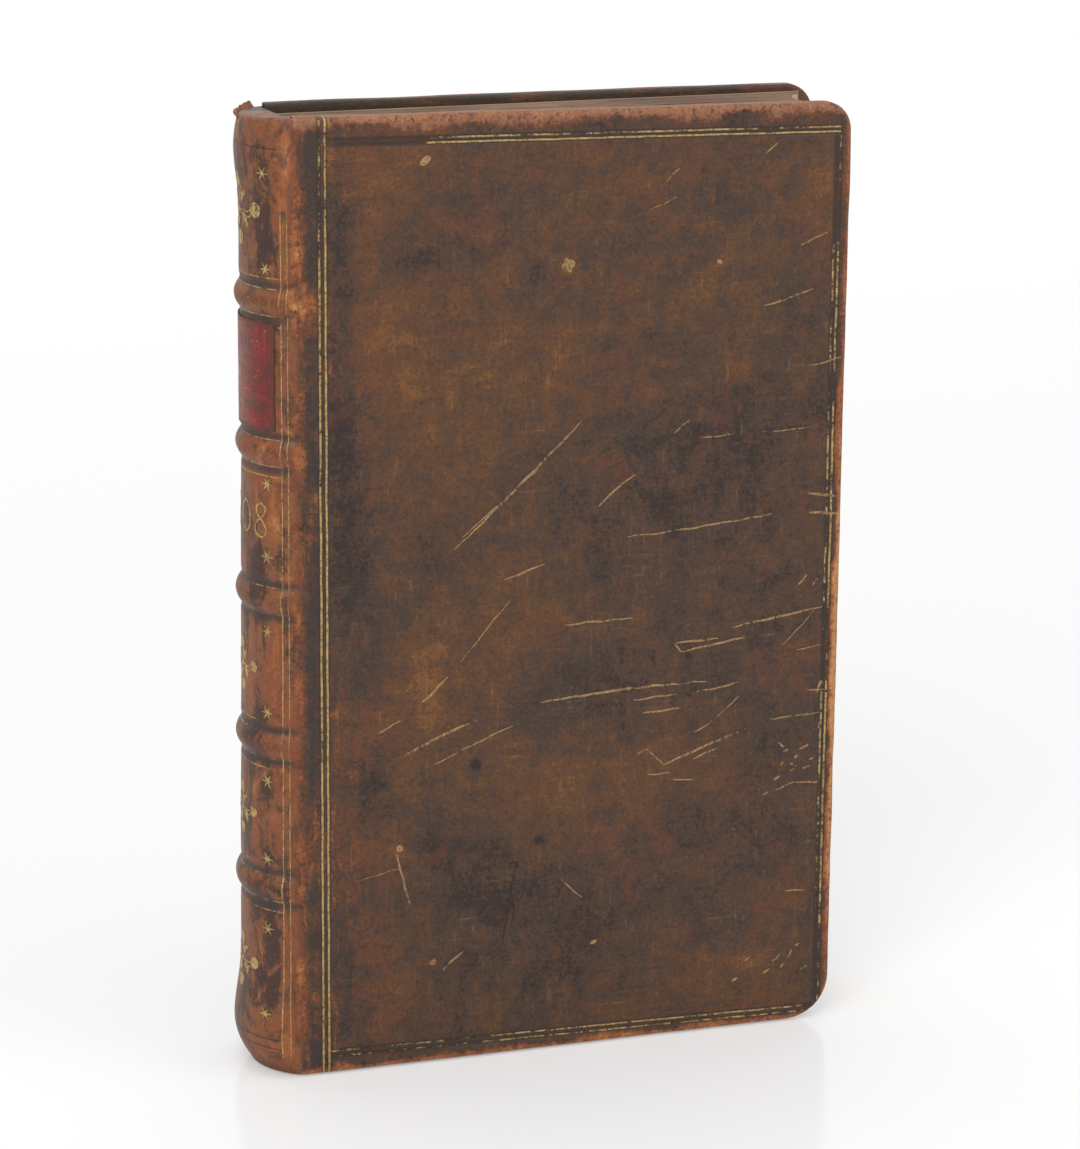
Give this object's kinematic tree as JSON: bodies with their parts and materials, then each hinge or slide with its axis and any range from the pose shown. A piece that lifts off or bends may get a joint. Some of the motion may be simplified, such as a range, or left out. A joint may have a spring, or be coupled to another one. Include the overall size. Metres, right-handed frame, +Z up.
{
  "type": "antique leather book",
  "caption": "Small old book bound in full calf over laced-on boards, with raised bands, a red label and covers that open.",
  "frame": {"origin": "centre of the bounding box's underside: the book stands on its tail edge on the plane z = 0", "axes": "+Z up, from tail to head; +X from the spine to the fore-edge; the front cover faces -Y and the rear cover +Y"},
  "size_m": [0.1105, 0.0222, 0.1728],
  "materials": {
    "leaves": "aged rag paper, dusty brown edges",
    "hemp_cord": "twisted hemp sewing cord",
    "lining_paper": "pasted lining paper",
    "endband_thread": "faded linen thread over a core",
    "spine_calf": "worn red-brown calf",
    "label_morocco": "faded red goatskin",
    "endpaper": "plain laid paper, foxed",
    "pasteboard": "grey-brown pasteboard",
    "cover_calf": "mottled dark brown calf, scuffed"
  },
  "bodies": {
    "book_block": {"text_block": "leaves", "sewing_cord_1": "hemp_cord", "sewing_cord_2": "hemp_cord", "sewing_cord_3": "hemp_cord", "sewing_cord_4": "hemp_cord", "sewing_cord_5": "hemp_cord", "spine_lining_1": "lining_paper", "spine_lining_2": "lining_paper", "spine_lining_3": "lining_paper", "spine_lining_4": "lining_paper", "spine_lining_5": "lining_paper", "spine_lining_6": "lining_paper", "headband": "endband_thread", "tailband": "endband_thread", "spine_leather": "spine_calf", "title_label": "label_morocco", "front_free_endpaper": "endpaper", "rear_free_endpaper": "endpaper"},
    "front_cover": {"front_leather": "cover_calf", "front_board": "pasteboard", "front_pastedown": "endpaper", "front_cord_slip_1": "hemp_cord", "front_cord_slip_2": "hemp_cord", "front_cord_slip_3": "hemp_cord", "front_cord_slip_4": "hemp_cord", "front_cord_slip_5": "hemp_cord"},
    "rear_cover": {"rear_leather": "cover_calf", "rear_board": "pasteboard", "rear_pastedown": "endpaper", "rear_cord_slip_1": "hemp_cord", "rear_cord_slip_2": "hemp_cord", "rear_cord_slip_3": "hemp_cord", "rear_cord_slip_4": "hemp_cord", "rear_cord_slip_5": "hemp_cord"}
  },
  "joints": [
    {"name": "front_cover_hinge", "type": "hinge", "parent": "book_block", "child": "front_cover", "pos_m": [-0.04655, -0.01115, 0], "axis": [0, 0, -1], "range_deg": [0, 180]},
    {"name": "rear_cover_hinge", "type": "hinge", "parent": "book_block", "child": "rear_cover", "pos_m": [-0.04655, 0.01115, 0], "axis": [0, 0, 1], "range_deg": [0, 180]}
  ]
}
